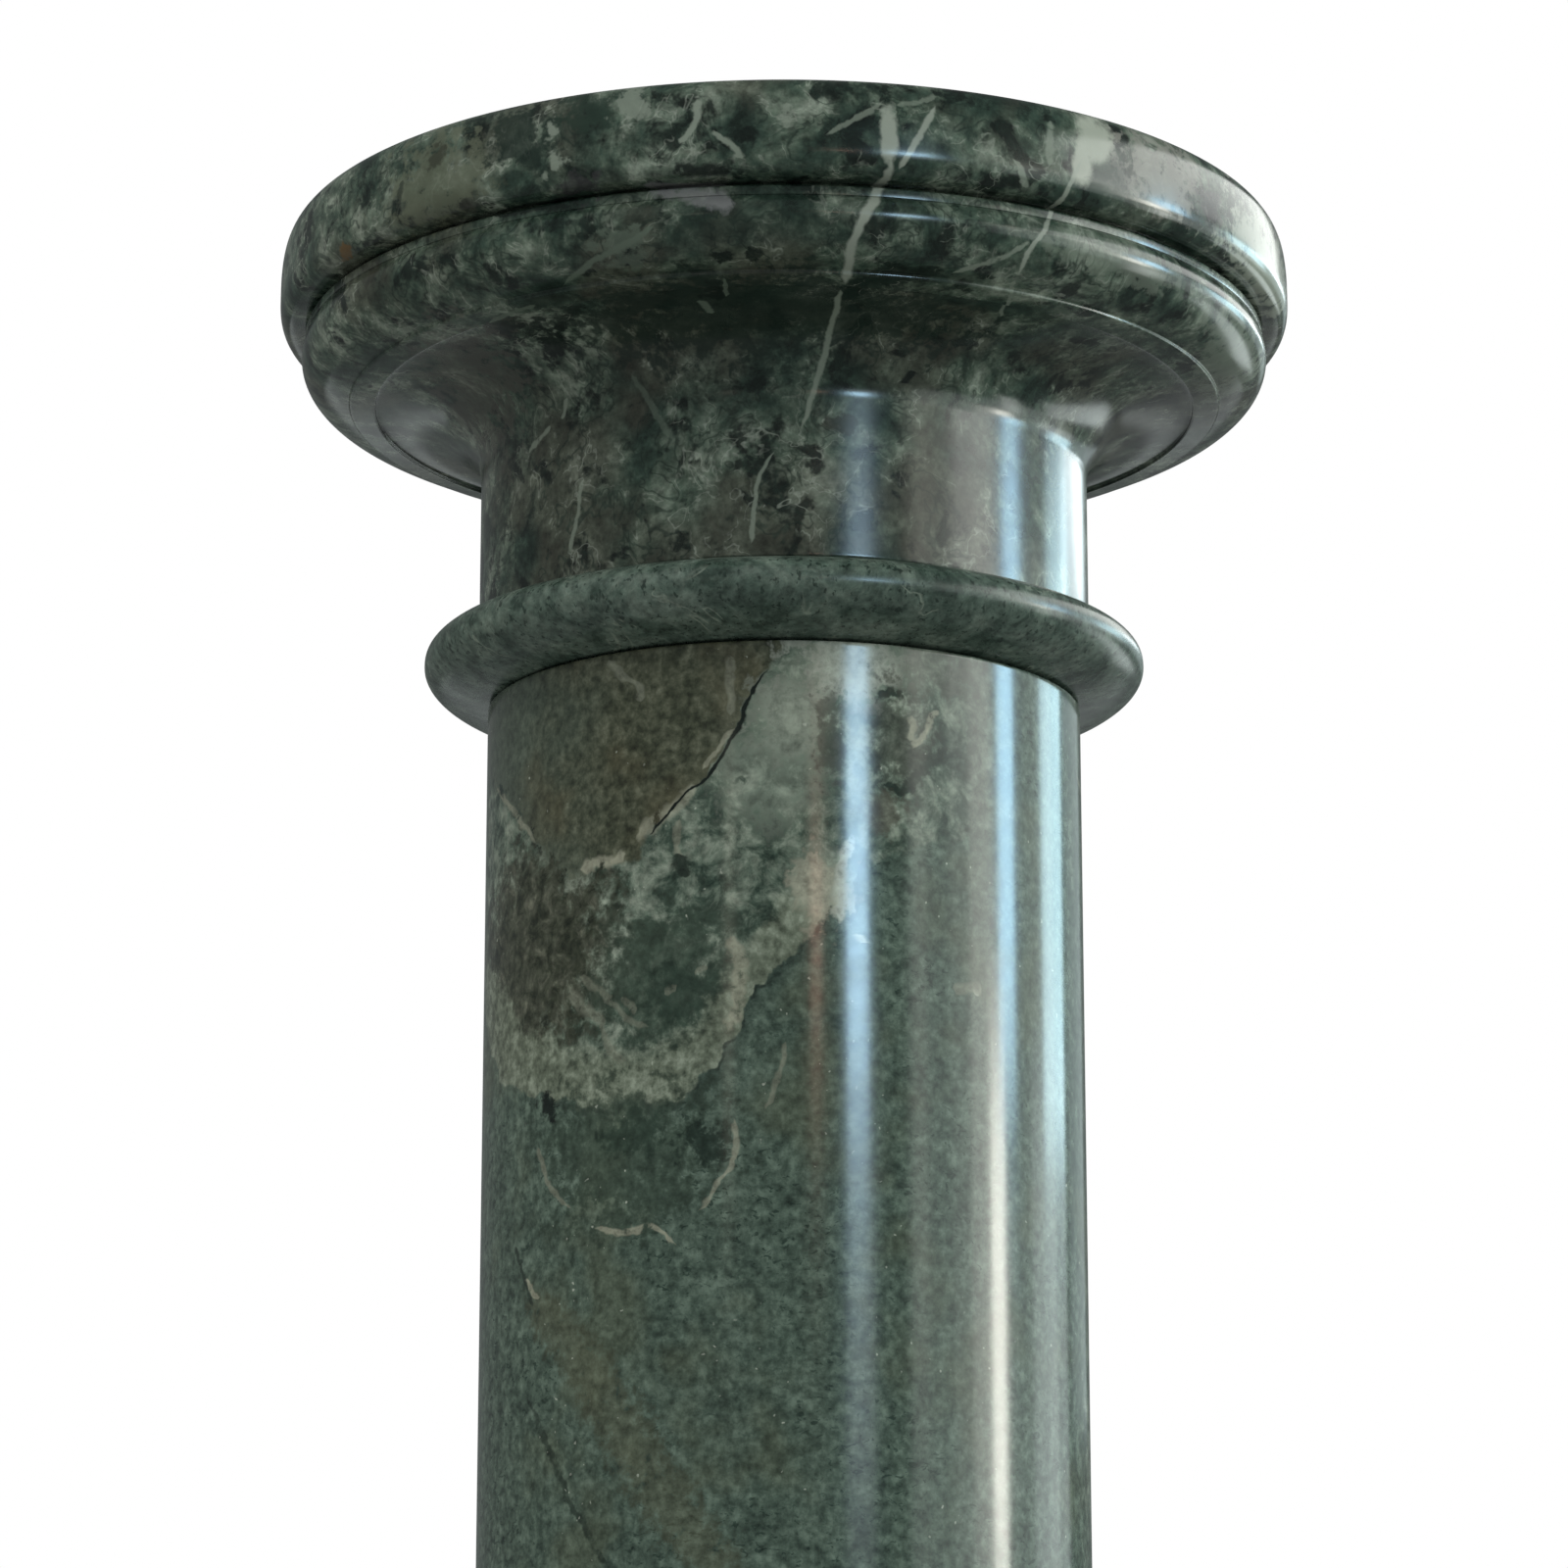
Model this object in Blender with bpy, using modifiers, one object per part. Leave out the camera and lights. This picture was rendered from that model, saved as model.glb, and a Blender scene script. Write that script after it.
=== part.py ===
"""Marble column pedestal: round moulded capital, two ring discs, plain shaft, moulded base, square plinth.

Metres, +Z up. The origin is the centre of the plinth's underside. Each stone is one solid of its own, and
they stand on each other with a thin bed joint between them. All but the plinth are turned on the Z axis.
"""

import math

import bpy

# The bed joint between two stones, and the flats that a turned stone has around the axis
BED_JOINT = 0.0003
TURNED_FACETS = 56

# Shaft
SHAFT_RADIUS = 0.0810
SHAFT_LENGTH = 0.7660
SHAFT_ARRIS = 0.0012

# Ring discs at both ends of the shaft. The nose is the widest level of their rounded edge, and the side of it
# that faces away from the shaft is the squarer one.
RING_PROJECTION = 0.0175
RING_NOSE_DEPTH = 0.0260
RING_HEIGHT_SHAFT_SIDE = 0.0116
RING_HEIGHT_FAR_SIDE = 0.0095
RING_FAR_SQUARENESS = 2.6

# Neck of the capital and of the base: a drum a little stouter than the shaft
NECK_STEP = 0.0027
NECK_ARRIS = 0.0008

# Capital, from the ring upwards: neck, cavetto, small step, torus, fillet, groove, plate
NECK_HEIGHT = 0.0438
CAVETTO_HEIGHT = 0.0194
CAVETTO_REACH = 0.0368
STEP_HEIGHT = 0.0017
TORUS_OVERHANG = 0.0133
TORUS_DEPTH = 0.0170
TORUS_HEIGHT_BELOW_NOSE = 0.0118
TORUS_HEIGHT_ABOVE_NOSE = 0.0042
FILLET_SETBACK = 0.0008
FILLET_HEIGHT = 0.0026
GROOVE_DEPTH = 0.0030
GROOVE_HEIGHT = 0.0012
PLATE_OVERHANG = 0.0062
PLATE_THICKNESS = 0.0262
PLATE_RIM_DEPTH = 0.0070
PLATE_HEIGHT_BELOW_NOSE = 0.0080
PLATE_RIM_SQUARENESS = 3.0

# Base, from the ring downwards: neck, cavetto, fillet, torus, foot
BASE_NECK_HEIGHT = 0.0140
BASE_CAVETTO_HEIGHT = 0.0250
BASE_CAVETTO_REACH = 0.0310
BASE_FILLET_STEP = 0.0030
BASE_FILLET_HEIGHT = 0.0045
BASE_TORUS_OVERHANG = 0.0160
BASE_TORUS_HEIGHT = 0.0280
BASE_FOOT_OVERHANG = 0.0020
BASE_FOOT_HEIGHT = 0.0065

# Plinth
PLINTH_MARGIN = 0.0093
PLINTH_HEIGHT = 0.0520
PLINTH_ARRIS = 0.0025

# Radii, worked out from the shaft
RING_RADIUS = SHAFT_RADIUS + RING_PROJECTION
NECK_RADIUS = SHAFT_RADIUS + NECK_STEP
CAVETTO_EDGE_RADIUS = NECK_RADIUS + CAVETTO_REACH
TORUS_RADIUS = CAVETTO_EDGE_RADIUS + TORUS_OVERHANG
FILLET_RADIUS = TORUS_RADIUS - FILLET_SETBACK
PLATE_RADIUS = TORUS_RADIUS + PLATE_OVERHANG
BASE_CAVETTO_EDGE_RADIUS = NECK_RADIUS + BASE_CAVETTO_REACH
BASE_FILLET_RADIUS = BASE_CAVETTO_EDGE_RADIUS + BASE_FILLET_STEP
BASE_TORUS_RADIUS = BASE_FILLET_RADIUS + BASE_TORUS_OVERHANG
BASE_FOOT_RADIUS = BASE_TORUS_RADIUS + BASE_FOOT_OVERHANG
PLINTH_WIDTH = 2 * (BASE_FOOT_RADIUS + PLINTH_MARGIN)

# Heights, stacked from the floor
RING_HEIGHT = RING_HEIGHT_SHAFT_SIDE + RING_HEIGHT_FAR_SIDE
BASE_HEIGHT = (BASE_FOOT_HEIGHT + BASE_TORUS_HEIGHT + BASE_FILLET_HEIGHT
               + BASE_CAVETTO_HEIGHT + BASE_NECK_HEIGHT)
BASE_BED = PLINTH_HEIGHT + BED_JOINT
LOWER_RING_BED = BASE_BED + BASE_HEIGHT + BED_JOINT
SHAFT_BED = LOWER_RING_BED + RING_HEIGHT + BED_JOINT
UPPER_RING_BED = SHAFT_BED + SHAFT_LENGTH + BED_JOINT
CAPITAL_BED = UPPER_RING_BED + RING_HEIGHT + BED_JOINT


def marble(name, colour, roughness):
    """A polished stone of one plain colour."""
    material = bpy.data.materials.new(name)
    material.use_nodes = True
    shader = material.node_tree.nodes["Principled BSDF"]
    shader.inputs["Base Color"].default_value = (*colour, 1.0)
    shader.inputs["Roughness"].default_value = roughness
    shader.inputs["Metallic"].default_value = 0.0
    return material


def arc(centre, semi_axes, start, end, steps, squareness=2.0):
    """Points (radius, height) along an ellipse from angle start to end, in degrees.

    A squareness over 2 fills the ellipse out towards the corners of its box.
    """
    points = []
    for step in range(steps + 1):
        angle = math.radians(start + (end - start) * step / steps)
        outward, up = math.cos(angle), math.sin(angle)
        points.append((
            centre[0] + semi_axes[0] * math.copysign(abs(outward) ** (2 / squareness), outward),
            centre[1] + semi_axes[1] * math.copysign(abs(up) ** (2 / squareness), up),
        ))
    return points


def turned(name, profile, bed, material, collection):
    """A stone turned about Z: profile runs down its outer side, as (radius, height above its bed)."""
    mesh = bpy.data.meshes.new(name)
    points = [(radius, 0.0, height) for radius, height in profile]
    mesh.from_pydata(points, [(i, i + 1) for i in range(len(points) - 1)], [])
    mesh.materials.append(material)
    stone = bpy.data.objects.new(name, mesh)
    stone.location.z = bed
    screw = stone.modifiers.new("Turning", "SCREW")
    screw.axis = "Z"
    screw.angle = math.tau
    screw.steps = screw.render_steps = TURNED_FACETS
    screw.use_merge_vertices = True
    screw.merge_threshold = 0.00001
    screw.use_smooth_shade = True
    collection.objects.link(stone)


def shaft_profile():
    return [
        (0.0, SHAFT_LENGTH),
        (SHAFT_RADIUS - SHAFT_ARRIS, SHAFT_LENGTH),
        (SHAFT_RADIUS, SHAFT_LENGTH - SHAFT_ARRIS),
        (SHAFT_RADIUS, SHAFT_ARRIS),
        (SHAFT_RADIUS - SHAFT_ARRIS, 0.0),
        (0.0, 0.0),
    ]


def ring_profile():
    """A flat disc with a rounded edge, as it lies above the shaft."""
    nose_centre = (RING_RADIUS - RING_NOSE_DEPTH, RING_HEIGHT_SHAFT_SIDE)
    far_side = arc(nose_centre, (RING_NOSE_DEPTH, RING_HEIGHT_FAR_SIDE), 90, 0, 6, RING_FAR_SQUARENESS)
    shaft_side = arc(nose_centre, (RING_NOSE_DEPTH, RING_HEIGHT_SHAFT_SIDE), 0, -90, 5)
    return [(0.0, RING_HEIGHT)] + far_side + shaft_side[1:] + [(0.0, 0.0)]


def upside_down(profile, height):
    return [(radius, height - level) for radius, level in reversed(profile)]


def capital_profile():
    """Round plate with a rounded rim, groove, fillet, torus, step, cavetto and neck, turned from one stone."""
    cavetto_edge = NECK_HEIGHT + CAVETTO_HEIGHT
    torus_nose = cavetto_edge + STEP_HEIGHT + TORUS_HEIGHT_BELOW_NOSE
    fillet_foot = torus_nose + TORUS_HEIGHT_ABOVE_NOSE
    groove_foot = fillet_foot + FILLET_HEIGHT
    plate_foot = groove_foot + GROOVE_HEIGHT
    plate_nose = plate_foot + PLATE_HEIGHT_BELOW_NOSE
    top = plate_foot + PLATE_THICKNESS

    rim_centre = (PLATE_RADIUS - PLATE_RIM_DEPTH, plate_nose)
    rim = (arc(rim_centre, (PLATE_RIM_DEPTH, top - plate_nose), 90, 0, 6, PLATE_RIM_SQUARENESS)
           + arc(rim_centre, (PLATE_RIM_DEPTH, PLATE_HEIGHT_BELOW_NOSE), 0, -90, 5, PLATE_RIM_SQUARENESS)[1:])

    groove_radius = FILLET_RADIUS - GROOVE_DEPTH
    groove_and_fillet = [
        (groove_radius, plate_foot),
        (groove_radius, groove_foot),
        (FILLET_RADIUS, groove_foot),
        (FILLET_RADIUS, fillet_foot),
    ]

    # The fillet cuts the torus off above its nose, and the step's face cuts it off below
    torus_centre = (TORUS_RADIUS - TORUS_DEPTH, torus_nose)
    torus_start = math.degrees(math.asin(TORUS_HEIGHT_ABOVE_NOSE / TORUS_HEIGHT_BELOW_NOSE))
    torus_end = -math.degrees(math.acos((CAVETTO_EDGE_RADIUS - torus_centre[0]) / TORUS_DEPTH))
    torus = arc(torus_centre, (TORUS_DEPTH, TORUS_HEIGHT_BELOW_NOSE), torus_start, torus_end, 7)

    cavetto = arc((CAVETTO_EDGE_RADIUS, NECK_HEIGHT), (CAVETTO_REACH, CAVETTO_HEIGHT), 90, 180, 7)
    neck_foot = [(NECK_RADIUS, NECK_ARRIS), (NECK_RADIUS - NECK_ARRIS, 0.0)]
    return [(0.0, top)] + rim + groove_and_fillet + torus + cavetto + neck_foot + [(0.0, 0.0)]


def base_profile():
    """The capital's mouldings in a plainer order: neck, cavetto, fillet, torus and foot, from one stone."""
    cavetto_top = BASE_HEIGHT - BASE_NECK_HEIGHT
    fillet_top = cavetto_top - BASE_CAVETTO_HEIGHT
    torus_top = fillet_top - BASE_FILLET_HEIGHT
    torus_nose = torus_top - BASE_TORUS_HEIGHT / 2

    neck = [(NECK_RADIUS - NECK_ARRIS, BASE_HEIGHT), (NECK_RADIUS, BASE_HEIGHT - NECK_ARRIS)]
    cavetto = arc((BASE_CAVETTO_EDGE_RADIUS, cavetto_top), (BASE_CAVETTO_REACH, BASE_CAVETTO_HEIGHT),
                  180, 270, 7)
    fillet = [(BASE_FILLET_RADIUS, fillet_top), (BASE_FILLET_RADIUS, torus_top)]
    torus = arc((BASE_FILLET_RADIUS, torus_nose), (BASE_TORUS_OVERHANG, BASE_TORUS_HEIGHT / 2), 90, -90, 9)
    foot = [(BASE_FOOT_RADIUS, BASE_FOOT_HEIGHT), (BASE_FOOT_RADIUS, 0.0)]
    return [(0.0, BASE_HEIGHT)] + neck + cavetto + fillet + torus[1:] + foot + [(0.0, 0.0)]


def plinth(material, collection):
    """Square slab with eased edges."""
    bpy.ops.mesh.primitive_cube_add(size=1.0, location=(0.0, 0.0, PLINTH_HEIGHT / 2))
    slab = bpy.context.active_object
    slab.name = slab.data.name = "plinth"
    slab.scale = (PLINTH_WIDTH, PLINTH_WIDTH, PLINTH_HEIGHT)
    bpy.ops.object.transform_apply(location=False, rotation=False, scale=True)
    slab.data.materials.append(material)
    easing = slab.modifiers.new("Eased edges", "BEVEL")
    easing.width = PLINTH_ARRIS
    easing.segments = 2
    for holder in list(slab.users_collection):
        holder.objects.unlink(slab)
    collection.objects.link(slab)


def build():
    for old in list(bpy.data.objects):
        bpy.data.objects.remove(old, do_unlink=True)
    column = bpy.data.collections.new("Marble column")
    bpy.context.scene.collection.children.link(column)

    capital_stone = marble("Brecciated green marble", (0.050, 0.072, 0.060), 0.14)
    ring_stone = marble("Plain green marble", (0.075, 0.100, 0.086), 0.20)
    shaft_stone = marble("Veined green marble", (0.080, 0.105, 0.088), 0.12)
    base_stone = marble("Dark green marble", (0.060, 0.082, 0.069), 0.16)

    plinth(base_stone, column)
    turned("base", base_profile(), BASE_BED, base_stone, column)
    turned("lower_ring", upside_down(ring_profile(), RING_HEIGHT), LOWER_RING_BED, ring_stone, column)
    turned("shaft", shaft_profile(), SHAFT_BED, shaft_stone, column)
    turned("upper_ring", ring_profile(), UPPER_RING_BED, ring_stone, column)
    turned("capital", capital_profile(), CAPITAL_BED, capital_stone, column)


build()
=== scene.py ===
"""Looks of the marble column: six stones, turned or sawn and then polished, each of its own green marble."""

import math

import bmesh
import bpy
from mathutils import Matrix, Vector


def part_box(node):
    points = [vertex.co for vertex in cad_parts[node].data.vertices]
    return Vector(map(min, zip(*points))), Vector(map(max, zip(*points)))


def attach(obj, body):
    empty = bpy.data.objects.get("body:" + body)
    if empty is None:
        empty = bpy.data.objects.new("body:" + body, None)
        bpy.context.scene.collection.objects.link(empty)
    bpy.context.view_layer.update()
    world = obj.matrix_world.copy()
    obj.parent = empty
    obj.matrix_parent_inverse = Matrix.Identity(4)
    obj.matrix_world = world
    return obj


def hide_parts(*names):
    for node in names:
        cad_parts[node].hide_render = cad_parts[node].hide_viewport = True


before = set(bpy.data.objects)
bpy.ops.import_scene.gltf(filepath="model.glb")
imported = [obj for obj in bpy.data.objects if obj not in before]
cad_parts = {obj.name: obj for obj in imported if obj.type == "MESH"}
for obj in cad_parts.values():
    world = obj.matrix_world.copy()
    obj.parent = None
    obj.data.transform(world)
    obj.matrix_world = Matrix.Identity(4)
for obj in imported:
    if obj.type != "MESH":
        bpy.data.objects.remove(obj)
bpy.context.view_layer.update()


# Plinth
# A square slab of dark green marble with broken pieces in it, sawn and polished, its edges eased by hand. It
# lies on the floor by its own weight, and the base stands on it.

MM = 0.001
PLINTH_EASING = 0.0025
PLINTH_EASING_STEPS = 5
PLINTH_DULLNESS = 0.10
PLINTH_SEED = 31.0

BLACK_GREEN = (0.005, 0.009, 0.007)
DEEP_GREEN = (0.010, 0.019, 0.014)
BOTTLE_GREEN = (0.024, 0.041, 0.030)
MOSS_GREEN = (0.050, 0.072, 0.052)
SAGE_GREEN = (0.094, 0.120, 0.090)
PALE_GREEN = (0.185, 0.215, 0.170)
RUST_BROWN = (0.056, 0.052, 0.038)
WHITE_VEIN = (0.260, 0.285, 0.235)

# Sizes in broken marble and in the polish, in mm
PIECE_SIZE = 16.0
RUST_SIZE = 44.0
BLOT_SIZE = 11.0
WISP_SIZE = 12.0
SPECKLE_SIZE = 2.8
DULL_SPOT_SIZE = 7.0
RUBBED_WAVE_SIZE = 24.0

DULL_SPOT_SPREAD = 0.10
RUBBED_WAVE_STRENGTH = 0.05


class Tone:
    """A value, place or colour in a stone's shader. Sums on it add Math nodes, and node() adds any other."""

    def __init__(self, socket):
        self.socket = socket

    def node(self, kind, settings, sockets, output=0):
        made = self.socket.id_data.nodes.new("ShaderNode" + kind)
        for name, setting in settings.items():
            if name == "stops":
                ramp = made.color_ramp
                while len(ramp.elements) < len(setting):
                    ramp.elements.new(1.0)
                for element, (position, colour) in zip(ramp.elements, setting):
                    element.position = position
                    element.color = (*colour, 1.0)
            elif name == "points":
                curve = made.mapping.curves[0]
                curve.points[0].location, curve.points[-1].location = setting[0], setting[-1]
                for point in setting[1:-1]:
                    curve.points.new(*point)
                made.mapping.update()
            else:
                setattr(made, name, setting)
        for name, value in sockets.items():
            if isinstance(value, Tone):
                self.socket.id_data.links.new(value.socket, made.inputs[name])
            elif made.inputs[name].type == "RGBA":
                made.inputs[name].default_value = (*value, 1.0)
            else:
                made.inputs[name].default_value = value
        return Tone(made.outputs[output])

    def math(self, operation, first, second=0.0, third=0.0):
        return self.node("Math", {"operation": operation}, {0: first, 1: second, 2: third})

    def __add__(self, other):
        return self.math("ADD", self, other)

    def __radd__(self, other):
        return self.math("ADD", other, self)

    def __sub__(self, other):
        return self.math("SUBTRACT", self, other)

    def __rsub__(self, other):
        return self.math("SUBTRACT", other, self)

    def __mul__(self, other):
        return self.math("MULTIPLY", self, other)

    def __rmul__(self, other):
        return self.math("MULTIPLY", other, self)

    def __pow__(self, other):
        return self.math("POWER", self, other)

    def __neg__(self):
        return self.math("SUBTRACT", 0.0, self)

    def __abs__(self):
        return self.math("ABSOLUTE", self)


def fade(value, start, end, full=1.0):
    """0 where the value is at start, full where it is at end, and a smooth step between."""
    return value.node("MapRange", {"interpolation_type": "SMOOTHSTEP"},
                      {"Value": value, "From Min": start, "From Max": end, "To Max": full})


def tint(below, above, mask):
    """One colour over another, where the mask lets it show."""
    return mask.node("Mix", {"data_type": "RGBA"}, {0: mask, 6: below, 7: above}, 2)


def toned(colour, strength):
    """A colour made lighter or darker by a value around 1."""
    return strength.node("VectorMath", {"operation": "SCALE"}, {0: colour, "Scale": strength})


def coloured(value, stops):
    """The colour that a value picks from a scale of colours."""
    return value.node("ValToRGB", {"stops": stops}, {"Fac": value})


def mottle(place, grain, detail=4.0, roughness=0.6, seed=0.0, swirl=0.0, output=0):
    """Cloudy patches about one grain across, in mm, around a value of 0.5. Three grain sizes stretch them."""
    sizes = grain if isinstance(grain, tuple) else (grain, grain, grain)
    laid = place.node("Mapping", {}, {"Vector": place, "Location": (seed, seed * 1.7, -seed * 0.6),
                                      "Scale": tuple(1.0 / size for size in sizes)})
    return place.node("TexNoise", {}, {"Vector": laid, "Scale": 1.0, "Detail": detail, "Roughness": roughness,
                                       "Distortion": swirl}, output)


def marble(name):
    """A new stone material and the place in it, in mm."""
    material = bpy.data.materials.new(name)
    material.use_nodes = True
    shader = material.node_tree.nodes["Principled BSDF"]
    coordinates = Tone(material.node_tree.nodes.new("ShaderNodeTexCoord").outputs["Object"])
    place = coordinates.node("VectorMath", {"operation": "SCALE"}, {0: coordinates, "Scale": 1.0 / MM})
    return material, shader, place


def polished(shader, place, colour, dullness):
    """Links a stone's colour and polish, with the slight unevenness that rubbing leaves in the surface."""
    tree = shader.id_data
    roughness = mottle(place, DULL_SPOT_SIZE, 3.0, 0.65, 2.0) * DULL_SPOT_SPREAD + dullness
    waves = mottle(place, RUBBED_WAVE_SIZE, 1.0, 0.4)
    bump = place.node("Bump", {}, {"Height": waves, "Distance": MM, "Strength": RUBBED_WAVE_STRENGTH})
    tree.links.new(colour.socket, shader.inputs["Base Color"])
    tree.links.new(roughness.socket, shader.inputs["Roughness"])
    tree.links.new(bump.socket, shader.inputs["Normal"])


def brecciated(place, seed):
    """Dark green marble of broken pieces in a paler ground: its colour anywhere in a block."""
    pieces = mottle(place, PIECE_SIZE, 5.0, 0.64, seed, 0.3)
    colour = coloured(pieces, [
        (0.35, DEEP_GREEN), (0.44, BOTTLE_GREEN), (0.51, MOSS_GREEN), (0.58, SAGE_GREEN), (0.68, PALE_GREEN)])
    rust = mottle(place, RUST_SIZE, 3.0, 0.55, seed + 5.0)
    colour = tint(colour, RUST_BROWN, fade(rust, 0.47, 0.60, 0.55))
    blots = mottle(place, BLOT_SIZE, 4.0, 0.6, seed + 13.0, 0.3)
    colour = tint(colour, BLACK_GREEN, fade(blots, 0.54, 0.64, 0.9))
    wisps = mottle(place, WISP_SIZE, 3.0, 0.6, seed + 21.0, 0.4)
    colour = tint(colour, WHITE_VEIN, fade(abs(wisps - 0.5), 0.018, 0.002) * fade(pieces, 0.46, 0.58, 0.4))
    colour = tint(colour, DEEP_GREEN, fade(abs(wisps - 0.58), 0.028, 0.004, 0.6))
    return toned(colour, mottle(place, SPECKLE_SIZE, 3.0, 0.65, seed + 9.0) * 2.2 - 0.1)


def stone_object(name, mesh, material, node):
    """Shows a finished stone in place of its plain solid."""
    mesh.materials.append(material)
    mesh.shade_smooth()
    stone = bpy.data.objects.new(name, mesh)
    bpy.context.scene.collection.objects.link(stone)
    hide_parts(node)
    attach(stone, "root")


plinth_low, plinth_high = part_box("plinth")
plinth_mesh = bpy.data.meshes.new("plinth_stone")
plinth_block = bmesh.new()
bmesh.ops.create_cube(plinth_block, size=1.0)
for corner in plinth_block.verts:
    for axis in range(3):
        corner.co[axis] = plinth_high[axis] if corner.co[axis] > 0 else plinth_low[axis]
bmesh.ops.bevel(plinth_block, geom=plinth_block.edges[:], offset=PLINTH_EASING, segments=PLINTH_EASING_STEPS,
                profile=0.5, affect="EDGES")
plinth_block.to_mesh(plinth_mesh)
plinth_block.free()
plinth_material, plinth_shader, plinth_place = marble("Dark green marble of the plinth")
polished(plinth_shader, plinth_place, brecciated(plinth_place, PLINTH_SEED), PLINTH_DULLNESS)
stone_object("plinth_stone", plinth_mesh, plinth_material, "plinth")


# Base
# One stone turned on a lathe from the same marble as the plinth: neck, cavetto, fillet, torus and foot. It is
# polished as it turns, and stands on the plinth with a thin bed joint.

TURNED_STEPS = 256
ARRIS = 0.0006
ARRIS_STEPS = 4
ARRIS_SHARPEST = 28.0
FLAT_WORTH_EDGING = 0.0035
EDGING = 0.0005

NECK_STEP = 0.0027
BASE_NECK_HEIGHT = 0.0140
BASE_CAVETTO_HEIGHT = 0.0250
BASE_CAVETTO_REACH = 0.0310
BASE_FILLET_STEP = 0.0030
BASE_FILLET_HEIGHT = 0.0045
BASE_TORUS_OVERHANG = 0.0160
BASE_TORUS_HEIGHT = 0.0280
BASE_DULLNESS = 0.10
BASE_SEED = 47.0


def arc(centre, semi_axes, start, end, steps, squareness=2.0):
    """Points (radius, height) along an ellipse between two angles. Squareness over 2 fills its corners."""
    points = []
    for step in range(steps + 1):
        angle = math.radians(start + (end - start) * step / steps)
        outward, up = math.cos(angle), math.sin(angle)
        points.append((
            centre[0] + semi_axes[0] * math.copysign(abs(outward) ** (2 / squareness), outward),
            centre[1] + semi_axes[1] * math.copysign(abs(up) ** (2 / squareness), up),
        ))
    return points


def eased(profile, radius):
    """The profile with its sharp corners rounded off."""
    points = [profile[0]]
    for before, corner, after in zip(profile, profile[1:], profile[2:]):
        back = (before[0] - corner[0], before[1] - corner[1])
        ahead = (after[0] - corner[0], after[1] - corner[1])
        back_length, ahead_length = math.hypot(*back), math.hypot(*ahead)
        cosine = (back[0] * ahead[0] + back[1] * ahead[1]) / (back_length * ahead_length)
        turn = math.pi - math.acos(max(-1.0, min(1.0, cosine)))
        if turn < math.radians(ARRIS_SHARPEST):
            points.append(corner)
            continue
        reach = min(radius * math.tan(turn / 2), back_length * 0.45, ahead_length * 0.45)
        start = (corner[0] + back[0] / back_length * reach, corner[1] + back[1] / back_length * reach)
        end = (corner[0] + ahead[0] / ahead_length * reach, corner[1] + ahead[1] / ahead_length * reach)
        for step in range(ARRIS_STEPS + 1):
            t = step / ARRIS_STEPS
            points.append(tuple((1 - t) ** 2 * start[i] + 2 * t * (1 - t) * corner[i] + t ** 2 * end[i]
                                for i in range(2)))
    return points + [profile[-1]]


def edged(profile):
    """The profile with a point near both ends of each long straight, so that it is shaded flat between."""
    points = [profile[0]]
    for start, end in zip(profile, profile[1:]):
        length = math.dist(start, end)
        if length > FLAT_WORTH_EDGING:
            for t in (EDGING / length, 1 - EDGING / length):
                points.append((start[0] + (end[0] - start[0]) * t, start[1] + (end[1] - start[1]) * t))
        points.append(end)
    return points


def turned(name, profile, bed):
    """A stone turned about Z. The profile runs from its top's centre to its bed's, as (radius, height)."""
    rows = edged(eased(profile, ARRIS))
    vertices, faces = [], []
    for radius, height in rows[1:-1]:
        for step in range(TURNED_STEPS):
            angle = math.tau * step / TURNED_STEPS
            vertices.append((radius * math.cos(angle), radius * math.sin(angle), bed + height))
    top, foot = len(vertices), len(vertices) + 1
    vertices += [(0.0, 0.0, bed + rows[0][1]), (0.0, 0.0, bed + rows[-1][1])]
    for step in range(TURNED_STEPS):
        following = (step + 1) % TURNED_STEPS
        faces.append((top, step, following))
        for row in range(0, top - TURNED_STEPS, TURNED_STEPS):
            below = row + TURNED_STEPS
            faces.append((row + step, below + step, below + following, row + following))
        faces.append((foot, top - TURNED_STEPS + following, top - TURNED_STEPS + step))
    mesh = bpy.data.meshes.new(name)
    mesh.from_pydata(vertices, [], faces)
    return mesh


def height_and_radius(node):
    """How high a turned stone's bed lies, how high the stone is itself, and its radius."""
    low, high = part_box(node)
    return low.z, high.z - low.z, high.x


shaft_bed, shaft_length, shaft_radius = height_and_radius("shaft")
neck_radius = shaft_radius + NECK_STEP
base_bed, base_height, base_foot_radius = height_and_radius("base")
base_cavetto_top = base_height - BASE_NECK_HEIGHT
base_fillet_top = base_cavetto_top - BASE_CAVETTO_HEIGHT
base_torus_top = base_fillet_top - BASE_FILLET_HEIGHT
base_foot_top = base_torus_top - BASE_TORUS_HEIGHT
base_cavetto_edge = neck_radius + BASE_CAVETTO_REACH
base_fillet_radius = base_cavetto_edge + BASE_FILLET_STEP

base_profile = (
    [(0.0, base_height), (neck_radius, base_height)]
    + arc((base_cavetto_edge, base_cavetto_top), (BASE_CAVETTO_REACH, BASE_CAVETTO_HEIGHT), 180, 270, 24)
    + [(base_fillet_radius, base_fillet_top)]
    + arc((base_fillet_radius, base_torus_top - BASE_TORUS_HEIGHT / 2),
          (BASE_TORUS_OVERHANG, BASE_TORUS_HEIGHT / 2), 90, -90, 36)
    + [(base_foot_radius, base_foot_top), (base_foot_radius, 0.0), (0.0, 0.0)]
)
base_material, base_shader, base_place = marble("Dark green marble of the base")
polished(base_shader, base_place, brecciated(base_place, BASE_SEED), BASE_DULLNESS)
stone_object("base_stone", turned("base_stone", base_profile, base_bed), base_material, "base")


# Ring discs
# Two flat discs of plain green marble with rounded edges, one under the capital and one over the base. Each
# is turned by itself and bedded between its neighbours.

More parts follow.
